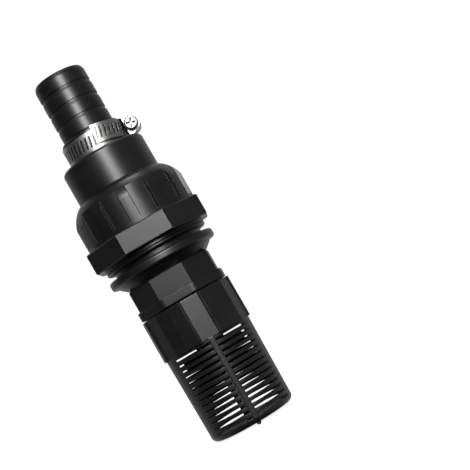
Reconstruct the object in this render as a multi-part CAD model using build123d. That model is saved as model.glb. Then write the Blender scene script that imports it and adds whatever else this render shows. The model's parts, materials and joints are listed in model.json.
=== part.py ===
"""Foot valve for a 25 mm suction hose, as separate pieces.

Frame: +Z runs up the valve's axis, from the strainer to the hose. The origin is on the axis, level
with the strainer's lowest point. The clamp screw's head points to -Y, the front. Millimetres.
"""
import os
from math import cos, pi, radians, sin

from build123d import *

os.makedirs("parts", exist_ok=True)

# ---- driving dimensions -------------------------------------------------------------------------
# overall
HOSE_BORE = 25.0           # hose that the tail fits
COLLAR_OD = 40.4           # collar round the hose tail's socket
FLUTED_OD = 54.0           # round body with the raised bars
WRENCH_AF = 56.0           # wrench octagon, across flats
FLANGE_OD = 52.6           # round flange of the lower half
NECK_AF = 39.5             # octagon neck, across flats
MOUTH_AF = 42.1            # rim at the lower half's mouth
GRIP_OD = 44.2             # strainer grip, over its ridges
PANEL_W = 8.4              # sunk panel on each side of the grip
BASKET_OD = 42.2           # strainer basket at its top
BASKET_END_OD = 41.0       # and at its closed end

# heights, from the bottom up
NUB_H = 1.1
BASKET_H = 41.9
GRIP_H = 20.3
GRIP_GAP = 0.5             # strainer grip to mouth rim, screwed home
MOUTH_H = 4.2
NECK_H = 10.3
BOWL_H = 3.8
FLANGE_H = 4.0
OPEN_NECK_H = 5.6          # flange to wrench octagon
WRENCH_H = 10.0
RIM_H = 1.8
FLUTE_H = 10.6             # straight part of the bars
DOME_H = 9.1
COLLAR_H = 16.4
LAND_H = 11.2              # plain land that the clamp sits on
TAIL_H = 29.5              # barbed length above the land

# threads and bores
PIPE_MAJOR = 33.25         # G 1 thread, both sockets
PIPE_PITCH = 2.309
PIPE_DEPTH = 1.25
CASING_THREAD = 43.8       # thread between the two halves
CASING_PITCH = 1.5
SOCKET_DEPTH = 13.0
THREAD_CLEAR = 0.075       # radial
SPIGOT_BORE = 24.0
SEAT_BORE = 26.0
CHAMBER_BORE = 40.8
TAIL_BORE = 19.5

# moving pieces
LIFT = 6.0                 # poppet travel
STEM_D = 5.0
RUNNING = 0.05             # radial clearance of a turning or sliding fit
POPPET_OD = 34.0
RETAINER_OD = 23.6
SHOULDER_D = 9.0           # stem's shoulder under the retainer, and the lower guide's hub
HUB_D = 13.0               # upper guide hub
BUSH_D = 8.0
SPRING_D = 15.2            # mean coil diameter
WIRE_D = 1.0
SPRING_TURNS = 4.5

# walls and details
BAR_COUNT = 12
BAR_W = 4.4
BAR_DEPTH = 1.9
WALL = 2.0
SLOT_PITCH = 2.83
SLOT_H = 1.12
SLOT_ROWS = 14
RIB_W = 2.8
RIB_PROUD = 0.4
INLET_OD = 30.0            # tube that hangs from the grip into the basket
INLET_H = 8.4              # its length below the grip
BRIDGE_W = 12.0            # what is left of it between its two ports
SLOT_TOP = 1.8             # grip's lower edge to the first slot row's middle
LIP_OD = 50.2              # round lip under the wrench octagon
LIP_H = 3.1
STRAINER_TURN = 6.0        # the strainer's stop, degrees round from the front
LOWER_TURN = -3.0          # the lower half's stop

# clamp
LAND_D = 28.6
BAND_W = 9.0
BAND_T = 0.6
LAP_GAP = 0.15
CLAMP_GAP = 0.45           # collar to band
SLOT_ANGLE = 8.2           # band slots, degrees apart
WORM_R = 3.1
HEAD_R = 3.2
HOUSING_L = 9.8            # along the worm
TAIL_FLANGE_H = 3.0        # tail's flange in the mouth of its socket

# ---- heights worked out from the above ----------------------------------------------------------
Z_BASKET = NUB_H
Z_GRIP = Z_BASKET + BASKET_H
Z_GRIP_TOP = Z_GRIP + GRIP_H
Z_MOUTH = Z_GRIP_TOP + GRIP_GAP
Z_NECK = Z_MOUTH + MOUTH_H
Z_BOWL = Z_NECK + NECK_H
Z_FLANGE = Z_BOWL + BOWL_H
Z_OPEN = Z_FLANGE + FLANGE_H
Z_WRENCH = Z_OPEN + OPEN_NECK_H
Z_RIM = Z_WRENCH + WRENCH_H
Z_FLUTE = Z_RIM + RIM_H
Z_DOME = Z_FLUTE + FLUTE_H
Z_COLLAR = Z_DOME + DOME_H
Z_COLLAR_TOP = Z_COLLAR + COLLAR_H
Z_LAND_TOP = Z_COLLAR_TOP + LAND_H
Z_TOP = Z_LAND_TOP + TAIL_H

WASHER_T = 1.8             # the two flat washers in the pipe sockets
GASKET_T = 1.4
PIPE_R = PIPE_MAJOR / 2
Z_STRAINER_SEAT = Z_MOUTH + SOCKET_DEPTH + 1.0     # floor of the lower socket
Z_TAIL_SEAT = Z_COLLAR_TOP - SOCKET_DEPTH          # floor of the upper socket
Z_SEAT = Z_WRENCH + 4.7                            # where the seal meets the seat
Z_SPIGOT_TOP = Z_WRENCH + 8.1                      # top of the lower half, inside the upper
Z_GASKET_TOP = Z_SPIGOT_TOP + GASKET_T
RETAINER_T = 2.2
SEAL_T = 2.2
DISC_T = 2.8
Z_DISC = Z_SEAT + SEAL_T
Z_DISC_TOP = Z_DISC + DISC_T
Z_SPRING_TOP = Z_DISC_TOP + 11.6
SPRING_WASHER_T = 0.8
Z_HUB = Z_SPRING_TOP + SPRING_WASHER_T             # underside of the guide hub
Z_GUIDE = Z_STRAINER_SEAT + 4.4                    # ledge that holds the lower guide

Z_CLAMP = Z_COLLAR_TOP + CLAMP_GAP + BAND_W / 2
BAND_R = LAND_D / 2 + BAND_T                       # outside of the first layer
LAP_R = BAND_R + LAP_GAP                           # inside of the lapping layer
WORM_X = LAP_R + BAND_T + RUNNING + WORM_R         # worm axis, parallel to Y


# ---- helpers ------------------------------------------------------------------------------------
def turned(points):
    """Solid of revolution about Z from a closed outline of (radius, height) points."""
    return revolve(make_face(Polyline(*[(r, 0, z) for r, z in points], close=True)), Axis.Z)


def ring(r_out, r_in, z0, z1):
    return turned([(r_in, z0), (r_out, z0), (r_out, z1), (r_in, z1)])


def disc(r, z0, z1):
    return Pos(0, 0, z0) * Cylinder(r, z1 - z0, align=(Align.CENTER, Align.CENTER, Align.MIN))


def bar_y(r, y0, y1, x, z):
    """Round bar along Y."""
    return Pos(x, y0, z) * Rot(-90, 0, 0) * Cylinder(r, y1 - y0, align=(Align.CENTER, Align.CENTER, Align.MIN))


def octagon(across_flats, z0, z1, corner=0.0):
    face = RegularPolygon(across_flats / 2, 8, major_radius=False, rotation=22.5)
    if corner:
        face = fillet(face.vertices(), corner)
    return Pos(0, 0, z0) * extrude(face, z1 - z0)


def thread_points(r_crest, depth, z0, z1, pitch):
    """Outline of a ridged male thread from z0 up to z1: the last point is on the crest line."""
    points, z = [], z0
    while z + pitch <= z1 + 1e-6:
        points += [(r_crest - depth, z), (r_crest - depth, z + 0.25 * pitch),
                   (r_crest, z + 0.5 * pitch), (r_crest, z + 0.75 * pitch)]
        z += pitch
    return points + [(r_crest - depth, z), (r_crest - depth, z1)]


def around(shape, count, start=0.0, step=None):
    step = 360 / count if step is None else step
    return [Rot(0, 0, start + i * step) * shape for i in range(count)]


# ---- hose tail and clamp ------------------------------------------------------------------------
def hose_tail():
    """Barbed tail: thread and flange in the collar's socket, plain land, barbs, rounded tip."""
    z_foot = Z_TAIL_SEAT + WASHER_T
    z_thread = Z_COLLAR_TOP - TAIL_FLANGE_H
    crest = PIPE_R - THREAD_CLEAR
    pitch = (TAIL_H - 0.6) / 4
    outline = [(TAIL_BORE / 2, z_foot)]
    outline += thread_points(crest, PIPE_DEPTH, z_foot, z_thread, PIPE_PITCH)
    outline += [(crest, z_thread), (crest, Z_COLLAR_TOP), (LAND_D / 2, Z_COLLAR_TOP),
                (LAND_D / 2, Z_LAND_TOP - 0.6), (LAND_D / 2 - 0.6, Z_LAND_TOP)]
    for i in range(4):
        z = Z_LAND_TOP + i * pitch
        last = i == 3
        outline += [(HOSE_BORE / 2 - 0.5, z), (HOSE_BORE / 2 - 0.5, z + 0.6), (HOSE_BORE / 2, z + 0.6),
                    (HOSE_BORE / 2, z + pitch - 1.6)]
        if last:
            outline += [(HOSE_BORE / 2 - 0.6, Z_TOP - 0.5), (HOSE_BORE / 2 - 1.1, Z_TOP)]
    outline += [(TAIL_BORE / 2 + 0.5, Z_TOP), (TAIL_BORE / 2, Z_TOP - 0.5)]
    return turned(outline)


def tail_washer():
    return ring(PIPE_R - 0.3, TAIL_BORE / 2 + 0.5, Z_TAIL_SEAT, Z_TAIL_SEAT + WASHER_T)


def band_slot(r):
    """One slanted slot through a band layer at radius r, on the -Y side."""
    return Pos(0, -r, Z_CLAMP) * Rot(0, 12, 0) * Box(1.0, 3.0, 5.6)


def clamp_band():
    """Perforated strap: one full turn, and a free end that laps over it and strays upwards."""
    z0, z1 = Z_CLAMP - BAND_W / 2, Z_CLAMP + BAND_W / 2
    full = ring(BAND_R, LAND_D / 2 + 0.02, z0, z1)
    count = int(304 / SLOT_ANGLE)
    full -= around(band_slot(BAND_R), count, 118.0, SLOT_ANGLE)

    def sector(a0, a1):
        layer = ring(LAP_R + BAND_T, LAP_R, z0, z1)
        wedge = [(0, 0)] + [(40 * cos(radians(a)), 40 * sin(radians(a))) for a in (a0, (a0 + a1) / 2, a1)]
        return layer & (Pos(0, 0, z0) * extrude(make_face(Polyline(*wedge, close=True)), BAND_W))

    bend = -22.0
    held = sector(bend, 16.0)
    free = sector(-84.0, bend + 0.6) - around(band_slot(LAP_R), 7, 10.5, SLOT_ANGLE)
    free = Rot(0, 0, bend) * Rot(-8.6, 0, 0) * Rot(0, 0, -bend) * (Pos(0, 0, -Z_CLAMP) * free)
    rivet = turned([(0, 0), (1.1, 0), (1.1, LAP_GAP + 0.1), (0, LAP_GAP + 0.1)])
    rivet = Rot(0, 0, 11.0) * Pos(BAND_R - 0.05, 0, Z_CLAMP) * Rot(0, 90, 0) * rivet
    return full + held + (Pos(0, 0, Z_CLAMP) * free) + rivet


def clamp_housing():
    """Pressed housing: a barrel over the worm, with flanks down both edges of the band."""
    half_l, wall = HOUSING_L / 2, 0.65
    r_out = WORM_R + RUNNING + wall
    flank_z = BAND_W / 2 + 0.02
    edge_z = flank_z + 0.4
    foot_x = LAND_D / 2 + 0.2
    outer = Polyline((foot_x, -edge_z), (LAP_R + 2.4, -edge_z), (WORM_X + 0.6, -r_out + 0.1),
                     (WORM_X + 0.6, r_out - 0.1), (LAP_R + 2.4, edge_z), (foot_x, edge_z), close=True)
    body = Plane.XZ * make_face(outer)
    body = Pos(0, -half_l, Z_CLAMP) * extrude(body, -2 * half_l)
    body += bar_y(r_out, -half_l, half_l, WORM_X, Z_CLAMP)
    body -= Pos(0, 0, Z_CLAMP) * Box(2 * (LAP_R + BAND_T + 0.02), 4 * half_l, 2 * flank_z)
    body -= bar_y(WORM_R + RUNNING, -half_l + 0.8, half_l - 0.6, WORM_X, Z_CLAMP)
    body -= Pos(LAP_R + BAND_T + 1.5, 0.1, Z_CLAMP) * Box(3.1, 2 * half_l - 1.4, 2 * (WORM_R + RUNNING))
    body -= bar_y(2.0 + RUNNING, -half_l - 1, 0, WORM_X, Z_CLAMP)
    body -= bar_y(1.5 + RUNNING, 0, half_l + 1, WORM_X, Z_CLAMP)
    return body


def clamp_screw():
    """Worm screw: pan head with a crossed recess, neck, worm ridges and a pilot at the far end."""
    half_l = HOUSING_L / 2
    y_head = -half_l - RUNNING
    head = bar_y(HEAD_R, y_head - 2.6, y_head, WORM_X, Z_CLAMP)
    head = fillet(head.faces().sort_by(Axis.Y)[0].edges(), 0.8)
    recess = Box(1.0, 3.0, 4.4) + Box(4.4, 3.0, 1.0)
    head -= Pos(WORM_X, y_head - 2.6, Z_CLAMP) * Rot(0, 20, 0) * recess
    worm_l = 2 * half_l - 1.4 - 2 * RUNNING
    y_worm = -half_l + 0.8 + RUNNING
    outline = [(0, 0)] + thread_points(WORM_R, 0.7, 0, worm_l, 2.2) + [(0, worm_l)]
    worm = Pos(WORM_X, y_worm, Z_CLAMP) * Rot(-90, 0, 0) * turned(outline)
    neck = bar_y(2.0, y_head, y_worm, WORM_X, Z_CLAMP)
    pilot = bar_y(1.5, y_worm + worm_l, half_l + 0.3, WORM_X, Z_CLAMP)
    return head + neck + worm + pilot


# ---- the two halves of the casing ---------------------------------------------------------------
def upper_casing():
    """Collar, domed shoulder with raised bars, rim and wrench octagon, with the guide hub inside."""
    r_flute, r_collar = FLUTED_OD / 2, COLLAR_OD / 2
    edge = 2.0
    side = [Line((0, 0, Z_WRENCH + 1), (r_flute - 0.1, 0, Z_WRENCH + 1)),
            Line((r_flute - 0.1, 0, Z_WRENCH + 1), (r_flute, 0, Z_DOME)),
            ThreePointArc((r_flute, 0, Z_DOME), (r_flute - 1.75, 0, Z_DOME + 4.1),
                          (r_collar + 2.5, 0, Z_COLLAR - 1.8)),
            Line((r_collar + 2.5, 0, Z_COLLAR - 1.8), (r_collar, 0, Z_COLLAR)),
            Line((r_collar, 0, Z_COLLAR), (r_collar, 0, Z_COLLAR_TOP - edge)),
            ThreePointArc((r_collar, 0, Z_COLLAR_TOP - edge),
                          (r_collar - edge * (1 - cos(pi / 4)), 0, Z_COLLAR_TOP - edge * (1 - sin(pi / 4))),
                          (r_collar - edge, 0, Z_COLLAR_TOP)),
            Line((r_collar - edge, 0, Z_COLLAR_TOP), (0, 0, Z_COLLAR_TOP)),
            Line((0, 0, Z_COLLAR_TOP), (0, 0, Z_WRENCH + 1))]
    body = revolve(make_face(side), Axis.Z)

    # windows between the bars: floor on a cylinder, walls drafted, open into the dome
    r_floor = r_flute - BAR_DEPTH
    windows = ring(r_flute + 4, r_floor, Z_FLUTE, Z_COLLAR - 1)
    half = BAR_W / 2
    bar = make_face(Polyline((-half - 0.3, -r_floor + 1), (half + 0.3, -r_floor + 1),
                             (half - 0.1, -r_flute - 5), (-half + 0.1, -r_flute - 5), close=True))
    bar = Pos(0, 0, Z_FLUTE - 1) * extrude(bar, Z_COLLAR - Z_FLUTE + 1)
    body -= windows - around(bar, BAR_COUNT)

    wrench = octagon(WRENCH_AF, Z_WRENCH, Z_RIM)
    flats = wrench.faces().filter_by(Axis.Z)
    body += chamfer([e for f in flats for e in f.edges()], 0.5)
    r_lip, z_lip = LIP_OD / 2, Z_WRENCH - LIP_H
    body += turned([(0, z_lip), (r_lip - 0.6, z_lip), (r_lip, z_lip + 0.6), (r_lip, z_lip + 1.1),
                    (r_lip - 0.5, z_lip + 1.4), (r_lip, z_lip + 1.7), (r_lip, Z_WRENCH + 1), (0, Z_WRENCH + 1)])

    # inside: thread bore, gasket shoulder, chamber, throat, pipe socket
    r_chamber = CHAMBER_BORE / 2
    r_thread = CASING_THREAD / 2 + THREAD_CLEAR
    body -= turned([(0, z_lip - 1), (r_thread + 0.8, z_lip - 1), (r_thread + 0.8, z_lip),
                    (r_thread, z_lip + 0.8), (r_thread, Z_GASKET_TOP), (r_chamber, Z_GASKET_TOP),
                    (r_chamber, Z_DOME + 0.5), (SEAT_BORE / 2, Z_COLLAR - 1), (SEAT_BORE / 2, Z_TAIL_SEAT),
                    (PIPE_R, Z_TAIL_SEAT), (PIPE_R, Z_COLLAR_TOP + 1), (0, Z_COLLAR_TOP + 1)])

    # guide hub on four ribs
    z_hub_top = Z_COLLAR
    rib = Pos(0, 0, Z_HUB) * Box(2 * r_chamber + 2, 2.2, 5.0, align=(Align.CENTER, Align.CENTER, Align.MIN))
    hub = disc(HUB_D / 2, Z_HUB, z_hub_top) + rib + Rot(0, 0, 90) * rib
    hub &= turned([(0, Z_HUB), (r_chamber + 0.8, Z_HUB), (r_chamber + 0.8, Z_DOME + 0.5),
                   (SEAT_BORE / 2 + 0.8, Z_COLLAR - 1), (HUB_D / 2, z_hub_top), (0, z_hub_top)])
    body += hub
    return body - disc(BUSH_D / 2, Z_HUB - 1, z_hub_top + 1)


def guide_bush():
    """Flanged plain bush in the hub."""
    body = disc(BUSH_D / 2, Z_HUB, Z_COLLAR) + disc(BUSH_D / 2 + 1.6, Z_COLLAR, Z_COLLAR + 0.8)
    return body - disc(STEM_D / 2 + RUNNING, Z_HUB - 1, Z_COLLAR + 2)


def casing_gasket():
    return ring(CASING_THREAD / 2 - 0.1, CHAMBER_BORE / 2, Z_SPIGOT_TOP, Z_GASKET_TOP)


def lower_casing():
    """Mouth rim, octagon neck, bowl, flange and threaded spigot, with the seat tube inside."""
    r_land, r_flange = CASING_THREAD / 2, FLANGE_OD / 2
    r_bowl = NECK_AF / 2 - 0.6
    edge = 1.1
    z_land = Z_OPEN + 2.6
    threads = thread_points(r_land, 0.9, z_land, Z_SPIGOT_TOP - 0.8, CASING_PITCH)
    side = [Line((0, 0, Z_BOWL - 1.5), (r_bowl - 0.4, 0, Z_BOWL - 1.5)),
            Line((r_bowl - 0.4, 0, Z_BOWL - 1.5), (r_bowl, 0, Z_BOWL - 0.4)),
            ThreePointArc((r_bowl, 0, Z_BOWL - 0.4), (r_bowl + 2.1, 0, Z_BOWL + 1.3),
                          (r_bowl + 4.9, 0, Z_FLANGE)),
            Line((r_bowl + 4.9, 0, Z_FLANGE), (r_flange - edge, 0, Z_FLANGE)),
            ThreePointArc((r_flange - edge, 0, Z_FLANGE), (r_flange - 0.3 * edge, 0, Z_FLANGE + 0.3 * edge),
                          (r_flange, 0, Z_FLANGE + edge)),
            Line((r_flange, 0, Z_FLANGE + edge), (r_flange, 0, Z_OPEN - edge)),
            ThreePointArc((r_flange, 0, Z_OPEN - edge), (r_flange - 0.3 * edge, 0, Z_OPEN - 0.3 * edge),
                          (r_flange - edge, 0, Z_OPEN)),
            Line((r_flange - edge, 0, Z_OPEN), (r_land, 0, Z_OPEN)),
            Line((r_land, 0, Z_OPEN), (r_land, 0, z_land)),
            Line((r_land, 0, z_land), (r_land - 0.9, 0, z_land)),
            Polyline(*[(r, 0, z) for r, z in threads]),
            Line((r_land - 0.9, 0, Z_SPIGOT_TOP - 0.8), (r_land - 0.9, 0, Z_SPIGOT_TOP)),
            Line((r_land - 0.9, 0, Z_SPIGOT_TOP), (0, 0, Z_SPIGOT_TOP)),
            Line((0, 0, Z_SPIGOT_TOP), (0, 0, Z_BOWL - 1.5))]
    body = revolve(make_face(side), Axis.Z)

    mouth = octagon(MOUTH_AF, Z_MOUTH, Z_NECK, corner=5.0)
    flats = mouth.faces().filter_by(Axis.Z)
    mouth = fillet([e for f in flats for e in f.edges()], 0.4)
    neck = octagon(NECK_AF, Z_NECK - 0.5, Z_BOWL)
    neck = chamfer(neck.faces().sort_by(Axis.Z)[-1].edges(), 0.5)
    body += Rot(0, 0, LOWER_TURN) * (mouth + neck)

    # inside: pipe socket, ledge for the lower guide, seat bore
    r_seat = SEAT_BORE / 2
    body -= turned([(0, Z_MOUTH - 1), (PIPE_R + 1.0, Z_MOUTH - 1), (PIPE_R + 1.0, Z_MOUTH),
                    (PIPE_R, Z_MOUTH + 1.0), (PIPE_R, Z_STRAINER_SEAT), (r_seat - 0.8, Z_STRAINER_SEAT),
                    (r_seat - 0.8, Z_GUIDE), (r_seat, Z_GUIDE), (r_seat, Z_SPIGOT_TOP + 1), (0, Z_SPIGOT_TOP + 1)])
    # pocket between the seat tube and the spigot, and the seat's rounded lip
    r_pocket = r_land - 3.0
    r_tube = r_seat + 2.4
    body -= turned([(r_seat - 1, Z_SEAT), (r_seat + 1.2, Z_SEAT), (r_tube, Z_SEAT - 0.8),
                    (r_tube, Z_FLANGE), (r_pocket, Z_FLANGE), (r_pocket, Z_SPIGOT_TOP + 1),
                    (r_seat - 1, Z_SPIGOT_TOP + 1)])
    return body


# ---- poppet -------------------------------------------------------------------------------------
def seal_retainer():
    return ring(RETAINER_OD / 2, STEM_D / 2, Z_SEAT - RETAINER_T, Z_SEAT)


def poppet_seal():
    return ring(POPPET_OD / 2 - 1.2, STEM_D / 2, Z_SEAT + 0.02, Z_DISC)


def poppet_disc():
    """Disc with a skirt round the seal and a low ridge that centres the spring."""
    r = POPPET_OD / 2
    r_ridge = SPRING_D / 2 - WIRE_D / 2 - 0.3
    return turned([(STEM_D / 2, Z_DISC), (r - 1.2, Z_DISC), (r - 1.2, Z_DISC - 1.2), (r, Z_DISC - 1.2),
                   (r, Z_DISC_TOP - 1.6), (r - 1.6, Z_DISC_TOP), (r_ridge, Z_DISC_TOP),
                   (r_ridge, Z_DISC_TOP + 1.2), (r_ridge - 1.0, Z_DISC_TOP + 1.2), (r_ridge - 1.0, Z_DISC_TOP),
                   (STEM_D / 2, Z_DISC_TOP)])


def poppet_stem():
    """Stem with the shoulder that the stack is clamped against."""
    r = STEM_D / 2
    z_shoulder = Z_SEAT - RETAINER_T
    r_shoulder = SHOULDER_D / 2
    z_low, z_high = Z_GUIDE - 3.0, Z_HUB + 5.6
    return turned([(0, z_low), (r - 0.5, z_low), (r, z_low + 0.5), (r, z_shoulder - 2.0), (r_shoulder, z_shoulder - 2.0),
                   (r_shoulder, z_shoulder), (r, z_shoulder), (r, z_high - 0.5), (r - 0.5, z_high), (0, z_high)])


def lock_washer():
    return ring(4.6, STEM_D / 2, Z_DISC_TOP, Z_DISC_TOP + 0.9)


def stem_nut():
    nut = Pos(0, 0, Z_DISC_TOP + 0.9) * extrude(RegularPolygon(4.0, 6, major_radius=False), 3.2)
    return nut - disc(STEM_D / 2, Z_DISC_TOP, Z_DISC_TOP + 6)


def valve_spring():
    """Round-wire coil between the disc and the spring washer, with its two end coils closed."""
    z0, z1 = Z_DISC_TOP + WIRE_D / 2, Z_SPRING_TOP - WIRE_D / 2
    r = SPRING_D / 2
    path = Pos(0, 0, z0) * Helix((z1 - z0) / SPRING_TURNS, z1 - z0, r)
    start = Plane(origin=path @ 0, z_dir=path % 0)
    coil = sweep(start * Circle(WIRE_D / 2), path=path, is_frenet=True)
    return coil


def spring_washer():
    return ring(SPRING_D / 2 + 1.2, 5.0, Z_SPRING_TOP, Z_HUB)


def lower_guide():
    """Spider pushed into the seat bore: ring, three legs and a hub round the stem."""
    r = SEAT_BORE / 2
    leg = Pos(r / 2, 0, Z_GUIDE) * Box(r - 1.2, 2.0, 4.0, align=(Align.CENTER, Align.CENTER, Align.MIN))
    body = ring(r, r - 1.5, Z_GUIDE, Z_GUIDE + 4.0) + disc(SHOULDER_D / 2, Z_GUIDE, Z_GUIDE + 6.0)
    for shape in around(leg, 3, 30.0):
        body += shape
    return body - disc(STEM_D / 2 + RUNNING, Z_GUIDE - 1, Z_GUIDE + 8)


# ---- strainer -----------------------------------------------------------------------------------
def strainer_washer():
    return ring(PIPE_R - 0.3, SPIGOT_BORE / 2 + 0.2, Z_STRAINER_SEAT - WASHER_T, Z_STRAINER_SEAT)


def strainer():
    """One moulding: threaded spigot, grip with six ridges, slotted basket with its closed end."""
    crest = PIPE_R - THREAD_CLEAR
    z_spigot = Z_STRAINER_SEAT - WASHER_T
    r_top, r_end = BASKET_OD / 2, BASKET_END_OD / 2
    corner = 2.6

    # basket, drafted, with a rounded lower edge
    basket = make_face([
        Line((0, 0, Z_BASKET), (r_end - corner, 0, Z_BASKET)),
        ThreePointArc((r_end - corner, 0, Z_BASKET),
                      (r_end - corner * (1 - sin(pi / 4)), 0, Z_BASKET + corner * (1 - cos(pi / 4))),
                      (r_end, 0, Z_BASKET + corner)),
        Line((r_end, 0, Z_BASKET + corner), (r_top, 0, Z_GRIP)),
        Line((r_top, 0, Z_GRIP), (0, 0, Z_GRIP)),
        Line((0, 0, Z_GRIP), (0, 0, Z_BASKET))])
    body = revolve(basket, Axis.Z)

    # grip: six sides, each a sunk panel between two sloping ones that meet the next side at a ridge
    r_ridge = GRIP_OD / 2
    ridge = (r_ridge * sin(pi / 6), r_ridge * cos(pi / 6))
    side = [(-ridge[0], ridge[1]), (-PANEL_W / 2 - 0.8, ridge[1] + 2.75), (-PANEL_W / 2, ridge[1] + 2.15),
            (PANEL_W / 2, ridge[1] + 2.15), (PANEL_W / 2 + 0.8, ridge[1] + 2.75)]
    outline = [(x * cos(a) + y * sin(a), y * cos(a) - x * sin(a))
               for a in [i * pi / 3 for i in range(6)] for x, y in side]
    grip = Pos(0, 0, Z_GRIP) * extrude(make_face(Polyline(*outline, close=True)), GRIP_H)
    grip = chamfer(grip.faces().sort_by(Axis.Z)[-1].edges(), 0.3)
    body += grip

    # ribs front and back, standing proud of the basket, each with a tapered nub past the closed end
    proud = turned([(r_end - 3.0, Z_BASKET + 0.5), (r_end - 0.6, Z_BASKET + 0.5), (r_end + RIB_PROUD, Z_BASKET + 2.2),
                    (r_top + RIB_PROUD, Z_GRIP + 0.5), (r_top - 1.0, Z_GRIP + 0.5)])
    proud &= Pos(0, 0, Z_BASKET) * Box(RIB_W - 0.6, 3 * r_top, 2 * BASKET_H)
    nub = make_face(Polyline((-0.6, 0), (0.6, 0), (1.1, NUB_H), (1.1, NUB_H + 1), (-1.1, NUB_H + 1),
                             (-1.1, NUB_H), close=True))
    nub = Pos(0, -(r_end - 3.9), 0) * extrude(Plane.XZ * nub, 2.2)
    body += proud
    for shape in around(nub, 2):
        body += shape

    # threaded spigot
    outline = [(0, Z_GRIP_TOP - 1), (crest - PIPE_DEPTH, Z_GRIP_TOP - 1)]
    outline += thread_points(crest, PIPE_DEPTH, Z_GRIP_TOP + 1.2, z_spigot, PIPE_PITCH) + [(0, z_spigot)]
    body += turned(outline)

    # hollow: basket, and the spigot's bore
    r_in_top, r_in_end = r_top - WALL, r_end - WALL
    body -= turned([(0, Z_BASKET + WALL), (r_in_end - 1.5, Z_BASKET + WALL), (r_in_end, Z_BASKET + WALL + 1.5),
                    (r_in_top, Z_GRIP - 0.5), (17.0, Z_GRIP + 2.0), (17.0, Z_GRIP_TOP - 5.0),
                    (SPIGOT_BORE / 2, Z_GRIP_TOP - 2.0), (SPIGOT_BORE / 2, z_spigot + 1), (0, z_spigot + 1)])

    # slots, pulled straight to the front and the back, clear of the ribs
    reach = r_end - 3.0
    width = reach - RIB_W / 2
    slot = Box(width, 4 * r_top, SLOT_H)
    z_first = Z_GRIP - SLOT_TOP
    slots = [Pos(s * (RIB_W / 2 + width / 2), 0, z_first - i * SLOT_PITCH) * slot
             for i in range(SLOT_ROWS) for s in (-1, 1)]
    body -= slots

    # inlet tube, with a wide port on each side just under the grip
    inlet = ring(INLET_OD / 2, INLET_OD / 2 - 1.6, Z_GRIP - INLET_H, Z_GRIP_TOP - 3.0)
    port = Box(INLET_OD, INLET_OD, SLOT_TOP + SLOT_PITCH / 2 + 2.0, align=(Align.MIN, Align.CENTER, Align.MIN))
    port = Pos(BRIDGE_W / 2, 0, Z_GRIP - SLOT_TOP - SLOT_PITCH / 2) * port
    for shape in around(port, 2):
        inlet -= shape
    body += inlet
    return Rot(0, 0, STRAINER_TURN) * body


PIECES = [hose_tail, tail_washer, clamp_band, clamp_housing, clamp_screw, upper_casing, guide_bush,
          casing_gasket, lower_casing, seal_retainer, poppet_seal, poppet_disc, poppet_stem, lock_washer,
          stem_nut, valve_spring, spring_washer, lower_guide, strainer_washer, strainer]

for piece in PIECES:
    export_step(piece(), f"parts/{piece.__name__}.step")
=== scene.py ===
"""Foot valve: finishes, a closing spring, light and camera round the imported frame.

Metres, +Z up the valve's axis to the hose, -Y the front.
"""

import json
from math import pi, radians, tau

import bpy
from mathutils import Matrix, Vector


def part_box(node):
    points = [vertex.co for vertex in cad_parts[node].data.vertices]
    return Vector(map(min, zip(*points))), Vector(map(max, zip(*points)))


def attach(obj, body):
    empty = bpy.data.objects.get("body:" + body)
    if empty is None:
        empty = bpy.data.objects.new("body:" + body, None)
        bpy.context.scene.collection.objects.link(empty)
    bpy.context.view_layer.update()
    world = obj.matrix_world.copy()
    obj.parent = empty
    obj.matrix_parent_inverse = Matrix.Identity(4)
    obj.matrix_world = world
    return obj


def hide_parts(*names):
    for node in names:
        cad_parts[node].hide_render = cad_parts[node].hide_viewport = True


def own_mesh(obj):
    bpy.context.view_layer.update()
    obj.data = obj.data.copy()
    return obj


MM = 0.001
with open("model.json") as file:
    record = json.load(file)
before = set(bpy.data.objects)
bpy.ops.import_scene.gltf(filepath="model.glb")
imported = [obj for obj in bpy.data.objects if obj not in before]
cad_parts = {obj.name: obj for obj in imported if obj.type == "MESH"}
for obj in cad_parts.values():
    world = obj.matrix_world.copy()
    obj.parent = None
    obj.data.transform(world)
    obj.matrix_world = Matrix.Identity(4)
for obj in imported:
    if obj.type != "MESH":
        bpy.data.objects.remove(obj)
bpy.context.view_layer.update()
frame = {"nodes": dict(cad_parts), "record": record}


# ---- shader maths --------------------------------------------------------------------------------
class Graph:
    """A material or world whose nodes are added by type, settings and socket values."""

    def __init__(self, owner):
        owner.use_nodes = True
        self.tree = owner.node_tree
        self.tree.nodes.clear()

    def node(self, kind, settings=None, **sockets):
        """A node with its settings made first. A socket's spaces are written as underscores."""
        made = self.tree.nodes.new(kind)
        for name, value in (settings or {}).items():
            setattr(made, name, value)
        for name, value in sockets.items():
            self.plug(made.inputs[name.replace("_", " ")], value)
        return made

    def plug(self, socket, value):
        if isinstance(value, Wire):
            self.tree.links.new(value.socket, socket)
        else:
            socket.default_value = value

    def mix(self, fac, a, b):
        made = self.node("ShaderNodeMix", {"data_type": "RGBA"})
        self.plug(made.inputs["Factor"], fac)
        self.plug(made.inputs["A"], a)
        self.plug(made.inputs["B"], b)
        return Wire(self, made.outputs["Result"])

    def wire(self, made, output):
        return Wire(self, made.outputs[output])


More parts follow.
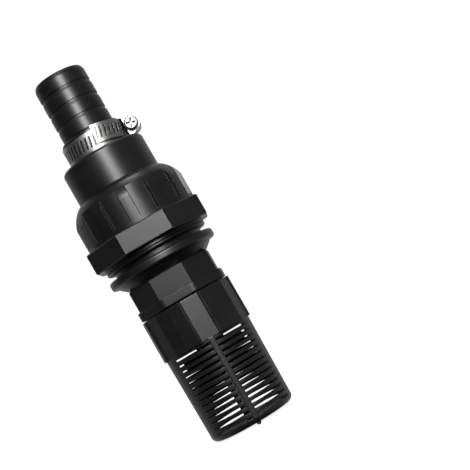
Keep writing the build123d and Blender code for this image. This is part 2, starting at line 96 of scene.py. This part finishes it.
class Wire:
    """An output socket that adds Math nodes when it is used in an expression."""

    def __init__(self, graph, socket):
        self.graph, self.socket = graph, socket

    def _math(self, operation, a, b):
        made = self.graph.node("ShaderNodeMath", {"operation": operation})
        self.graph.plug(made.inputs[0], a)
        self.graph.plug(made.inputs[1], b)
        return Wire(self.graph, made.outputs[0])

    def __add__(self, other):
        return self._math("ADD", self, other)

    def __radd__(self, other):
        return self._math("ADD", other, self)

    def __sub__(self, other):
        return self._math("SUBTRACT", self, other)

    def __rsub__(self, other):
        return self._math("SUBTRACT", other, self)

    def __mul__(self, other):
        return self._math("MULTIPLY", self, other)

    def __rmul__(self, other):
        return self._math("MULTIPLY", other, self)

    def __truediv__(self, other):
        return self._math("DIVIDE", self, other)

    def __rtruediv__(self, other):
        return self._math("DIVIDE", other, self)

    def __pow__(self, other):
        return self._math("POWER", self, other)

    def __rpow__(self, other):
        return self._math("POWER", other, self)

    def clamp(self, low=0.0, high=1.0):
        return self._math("MINIMUM", self._math("MAXIMUM", self, low), high)

    def between(self, start, end):
        """0 at start, 1 at end, straight in between and held outside; either may be the larger."""
        return ((self - start) / (end - start)).clamp()


def place(graph, scale=(1, 1, 1)):
    """Object coordinates in millimetres, stretched by scale."""
    where = graph.wire(graph.node("ShaderNodeTexCoord"), "Object")
    mapped = graph.node("ShaderNodeMapping", Vector=where, Scale=tuple(s / MM for s in scale))
    return graph.wire(mapped, "Vector")


def noise(graph, vector, scale, detail=3.0, roughness=0.5):
    made = graph.node("ShaderNodeTexNoise", Vector=vector, Scale=scale, Detail=detail,
                      Roughness=roughness)
    return graph.wire(made, "Fac")


def painted_hollow_shade(graph, colour, reach=1.6 * MM, depth=1.6):
    """Painted shade: the tone is darkened towards near-black in slots and recesses by ambient
    occlusion, standing in for shadow.
    """
    # painted shade: the near-black tone mixed in where the AO node finds slots and recesses
    painted_shade = (0.012, 0.012, 0.012, 1)
    occluded = graph.node("ShaderNodeAmbientOcclusion", {"samples": 8}, Distance=reach)
    return graph.mix(graph.wire(occluded, "AO") ** depth, painted_shade, colour)


def surface(graph, height=None, strength=0.3, distance=0.05 * MM, edge=0.0, **inputs):
    """Ends a material with a Principled shader, a bump from height and softened edges."""
    shader = graph.node("ShaderNodeBsdfPrincipled")
    for name, value in inputs.items():
        graph.plug(shader.inputs[name.replace("_", " ")], value)
    normal = None
    if edge:
        rounding = graph.node("ShaderNodeBevel", {"samples": 4}, Radius=edge)
        normal = graph.wire(rounding, "Normal")
    if height is not None:
        bump = graph.node("ShaderNodeBump", Height=height, Strength=strength, Distance=distance)
        if normal:
            graph.plug(bump.inputs["Normal"], normal)
        normal = graph.wire(bump, "Normal")
    if normal:
        graph.plug(shader.inputs["Normal"], normal)
    out = graph.node("ShaderNodeOutputMaterial")
    graph.tree.links.new(shader.outputs["BSDF"], out.inputs["Surface"])


def material(name):
    made = bpy.data.materials.new(name)
    return made, Graph(made)


# ---- finishes ------------------------------------------------------------------------------------
def moulded_black(name, edge=0.25 * MM):
    """Black polypropylene: satin, fine spark-eroded grain, faint flow marks and handling dust."""
    deep, worn = (0.0048, 0.0048, 0.0053, 1), (0.0075, 0.0075, 0.0082, 1)
    dust = (0.016, 0.016, 0.0172, 1)
    made, g = material(name)
    grain = noise(g, place(g), 6.0, 2.0, 0.6)
    flow = noise(g, place(g, (0.05, 0.05, 0.12)), 1.0, 3.0, 0.5)
    scuff = noise(g, place(g, (0.9, 0.9, 0.25)), 1.0, 4.0, 0.65).between(0.58, 0.78)
    colour = g.mix(scuff * 0.35, g.mix(flow.between(0.35, 0.7), deep, worn), dust)
    surface(g, height=grain + 1.2 * flow, strength=0.22, distance=0.04 * MM, edge=edge,
            Base_Color=colour, Roughness=0.28 + 0.06 * grain + 0.05 * flow + 0.06 * scuff,
            Specular_IOR_Level=0.5)
    return made


def rolled_steel(name, colour=(0.48, 0.475, 0.455), low=0.28, edge=0.15 * MM):
    """Stainless strip: fine rolling lines round the band, small blotches of tone."""
    made, g = material(name)
    lines = noise(g, place(g, (0.6, 0.6, 14.0)), 1.0, 2.0, 0.7)
    blotch = noise(g, place(g, (0.35, 0.35, 0.35)), 1.0, 3.0, 0.6)
    dull = tuple(0.86 * c for c in colour)
    tone = g.mix(blotch.between(0.35, 0.7), (*dull, 1), (*colour, 1))
    surface(g, height=lines, strength=0.25, distance=0.03 * MM, edge=edge,
            # base colour carries painted shade in slots and recesses (ambient occlusion)
            Base_Color=painted_hollow_shade(g, tone), Metallic=1.0,
            Roughness=low + 0.1 * lines + 0.08 * blotch)
    return made


def plated_steel(name, colour=(0.33, 0.325, 0.315), low=0.3, edge=0.12 * MM):
    """Plated, turned or drawn steel with faint tool marks."""
    made, g = material(name)
    marks = noise(g, place(g, (3.0, 9.0, 3.0)), 1.0, 2.0, 0.6)
    blotch = noise(g, place(g, (0.6, 0.6, 0.6)), 1.0, 3.0, 0.6)
    dull = tuple(0.8 * c for c in colour)
    tone = g.mix(blotch.between(0.3, 0.75), (*dull, 1), (*colour, 1))
    surface(g, height=marks, strength=0.2, distance=0.03 * MM, edge=edge,
            # base colour carries painted shade in slots and recesses (ambient occlusion)
            Base_Color=painted_hollow_shade(g, tone), Metallic=1.0,
            Roughness=low + 0.08 * marks + 0.06 * blotch)
    return made


def nitrile(name):
    """Matt black rubber with a powdery bloom."""
    rubber, powder = (0.016, 0.016, 0.016, 1), (0.05, 0.05, 0.048, 1)
    made, g = material(name)
    fine = noise(g, place(g), 4.0, 3.0, 0.6)
    bloom = noise(g, place(g), 0.4, 3.0, 0.6).between(0.45, 0.75)
    surface(g, height=fine, strength=0.3, distance=0.05 * MM, edge=0.2 * MM,
            Base_Color=g.mix(bloom * 0.5, rubber, powder), Roughness=0.7 + 0.15 * fine)
    return made


def acetal(name):
    """Natural white acetal: waxy, slightly warm."""
    warm, pale = (0.74, 0.73, 0.68, 1), (0.82, 0.81, 0.77, 1)
    made, g = material(name)
    fine = noise(g, place(g), 3.0, 2.0, 0.5)
    cloud = noise(g, place(g), 0.3, 2.0, 0.5)
    surface(g, height=fine, strength=0.15, distance=0.04 * MM, edge=0.2 * MM,
            Base_Color=g.mix(cloud, warm, pale), Roughness=0.34 + 0.1 * fine)
    return made


FINISH = {
    "black_pp": moulded_black("black_polypropylene"),
    "stainless": rolled_steel("rolled_stainless"),
    "screw_steel": plated_steel("plated_screw_steel"),
    "stem_steel": plated_steel("turned_stainless", (0.6, 0.6, 0.6), 0.24),
    "spring_steel": plated_steel("drawn_spring_wire", (0.52, 0.52, 0.52), 0.28),
    "seal_rubber": nitrile("nitrile_rubber"),
    "acetal": acetal("natural_acetal"),
}
STRAINER_BLACK = moulded_black("black_polypropylene_rounded", edge=0.6 * MM)


def finish_with(piece, finish):
    piece.data.materials.clear()
    piece.data.materials.append(finish)


for row in frame["record"]["subparts"]:
    finish = STRAINER_BLACK if row["node"] == "strainer" else FINISH[row["material_slot"]]
    finish_with(frame["nodes"][row["node"]], finish)


# ---- valve spring --------------------------------------------------------------------------------
def valve_spring():
    """Round-wire coil in the valve spring's place, between the poppet and its upper washer, made
    once and fixed to the casing.
    """
    turns, wire_radius, lift = 4.5, 0.5 * MM, 6 * MM
    low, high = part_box("valve_spring")
    length = high.z - low.z
    bpy.ops.object.select_all(action="DESELECT")
    bpy.ops.mesh.primitive_circle_add(
        vertices=20, radius=wire_radius, fill_type="NOTHING", rotation=(pi / 2, 0, 0),
        location=(high.x - wire_radius, 0, low.z + wire_radius))
    piece = bpy.context.object
    piece.name = "coiled_spring"
    bpy.ops.object.transform_apply(location=True, rotation=True, scale=True)
    coil = piece.modifiers.new("coil", "SCREW")
    coil.axis, coil.angle, coil.screw_offset = "Z", tau * turns, length - 2 * wire_radius
    coil.steps = coil.render_steps = 216
    bpy.ops.object.modifier_apply(modifier="coil")
    bpy.ops.object.mode_set(mode="EDIT")
    bpy.ops.mesh.select_all(action="SELECT")
    bpy.ops.mesh.fill_holes(sides=0)
    bpy.ops.mesh.select_all(action="SELECT")
    bpy.ops.mesh.normals_make_consistent(inside=False)
    bpy.ops.object.mode_set(mode="OBJECT")
    bpy.ops.object.shade_smooth_by_angle(angle=radians(40))
    finish_with(piece, FINISH["spring_steel"])
    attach(piece, "casing")
    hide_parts("valve_spring")
    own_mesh(piece)


# ---- floor, light, camera ------------------------------------------------------------------------
def floor():
    """A pale round floor that neither lights the valve nor shows in its gloss."""
    radius, glow = 4.0, 0.86
    bpy.ops.object.select_all(action="DESELECT")
    bpy.ops.mesh.primitive_circle_add(vertices=96, radius=radius, fill_type="NGON",
                                      location=(0, 0, 0))
    piece = bpy.context.object
    piece.name = "floor"
    made, g = material("pale_floor")
    shade = noise(g, place(g, (0.004, 0.004, 0.004)), 1.0, 2.0)
    colour = g.mix(shade, (0.80, 0.80, 0.80, 1), (0.83, 0.83, 0.83, 1))
    surface(g, Base_Color=colour, Roughness=0.9, Emission_Color=(1, 1, 1, 1),
            Emission_Strength=glow)
    piece.data.materials.append(made)
    piece.visible_diffuse = piece.visible_glossy = False


def softbox(name, location, target, width, height, power):
    light = bpy.data.lights.new(name, "AREA")
    light.shape, light.size, light.size_y, light.energy = "RECTANGLE", width, height, power
    lamp = bpy.data.objects.new(name, light)
    bpy.context.scene.collection.objects.link(lamp)
    lamp.location = location
    aim = Vector(target) - Vector(location)
    lamp.rotation_euler = aim.to_track_quat("-Z", "Y").to_euler()


def studio():
    """White to the camera. For the valve: pale backdrop behind, dim sides, pale table low down."""
    dim, backdrop, side, table, white = 0.03, 0.5, 0.10, 0.4, 1.05
    world = bpy.data.worlds.new("studio")
    bpy.context.scene.world = world
    g = Graph(world)
    seen = g.wire(g.node("ShaderNodeLightPath"), "Is Camera Ray")
    way = g.node("ShaderNodeSeparateXYZ", Vector=g.wire(g.node("ShaderNodeTexCoord"), "Generated"))
    across, depth, height = (g.wire(way, axis) for axis in "XYZ")
    behind = depth.between(0.15, 0.75) * height.between(-0.5, 0.2)
    right = across.between(0.5, 0.95)
    low = height.between(-0.08, -0.22) * height.between(-0.85, -0.5) * depth.between(-0.6, -0.1)
    around = dim + backdrop * behind + side * right + table * low
    back = g.node("ShaderNodeBackground", Color=(1, 1, 1, 1),
                  Strength=around + seen * (white - around))
    out = g.node("ShaderNodeOutputWorld")
    g.tree.links.new(back.outputs["Background"], out.inputs["Surface"])
    middle = (0, 0, 0.1)
    softbox("front_box", (0.14, -1.05, 0.62), middle, width=0.40, height=0.85, power=22)
    softbox("top_box", (0.25, 0.15, 1.3), middle, width=0.4, height=0.4, power=3)


def camera():
    """Close in front of the valve, level with its strainer's grip, and rolled so that it leans."""
    location = Vector((0.0151, -0.5210, 0.0485))
    aim, up = Vector((0.0342, 0, 0.0775)), Vector((0.4989, -0.0665, 0.8641))
    lens = bpy.data.cameras.new("camera")
    lens.sensor_width, lens.lens = 36.0, 88.2
    lens.clip_start, lens.clip_end = 0.01, 20
    cam = bpy.data.objects.new("camera", lens)
    bpy.context.scene.collection.objects.link(cam)
    back = (location - aim).normalized()
    right = up.cross(back).normalized()
    turn = Matrix((right, back.cross(right), back)).transposed()
    cam.matrix_world = Matrix.Translation(location) @ turn.to_4x4()
    bpy.context.scene.camera = cam


valve_spring()
floor()
studio()
camera()
bpy.context.scene.view_settings.view_transform = "Standard"
